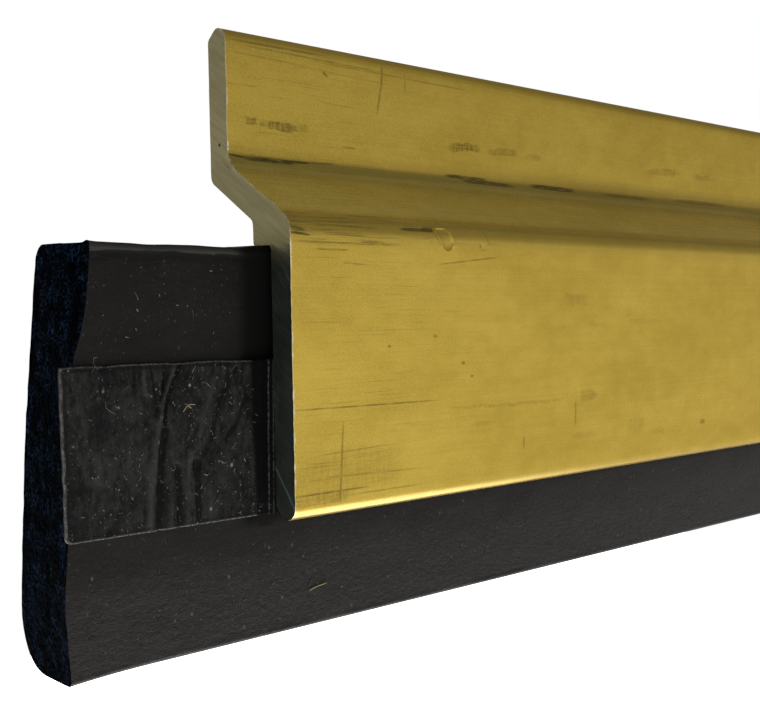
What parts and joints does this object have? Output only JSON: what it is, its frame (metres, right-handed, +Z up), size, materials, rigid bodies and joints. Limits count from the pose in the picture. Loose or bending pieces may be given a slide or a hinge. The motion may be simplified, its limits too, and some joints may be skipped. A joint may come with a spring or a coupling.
{
  "type": "door sweep",
  "caption": "Door bottom sweep: gold anodised offset aluminium retainer with slotted screw holes and a black sponge rubber seal bonded behind its lower flange.",
  "frame": {"origin": "on the retainer's flat back face, which lies against the door, half way along it and at the height of the screws", "axes": "+X along the strip to the right as seen from the room, +Y into the door, +Z up"},
  "size_m": [0.9588, 0.0292, 0.0635],
  "materials": {
    "gold_anodised": "satin",
    "sponge_rubber": "matte",
    "tape_film": "satin",
    "screw_metal": "satin"
  },
  "bodies": {
    "fasteners": {"screw_1": "screw_metal", "screw_2": "screw_metal", "screw_3": "screw_metal", "screw_4": "screw_metal"},
    "sweep": {"retainer": "gold_anodised", "sponge_seal": "sponge_rubber", "bonding_tape": "tape_film"}
  },
  "joints": [
    {"name": "height_adjust", "type": "slide", "parent": "fasteners", "child": "sweep", "axis": [0, 0, 1], "range_m": [-0.0016, 0.0016]}
  ]
}
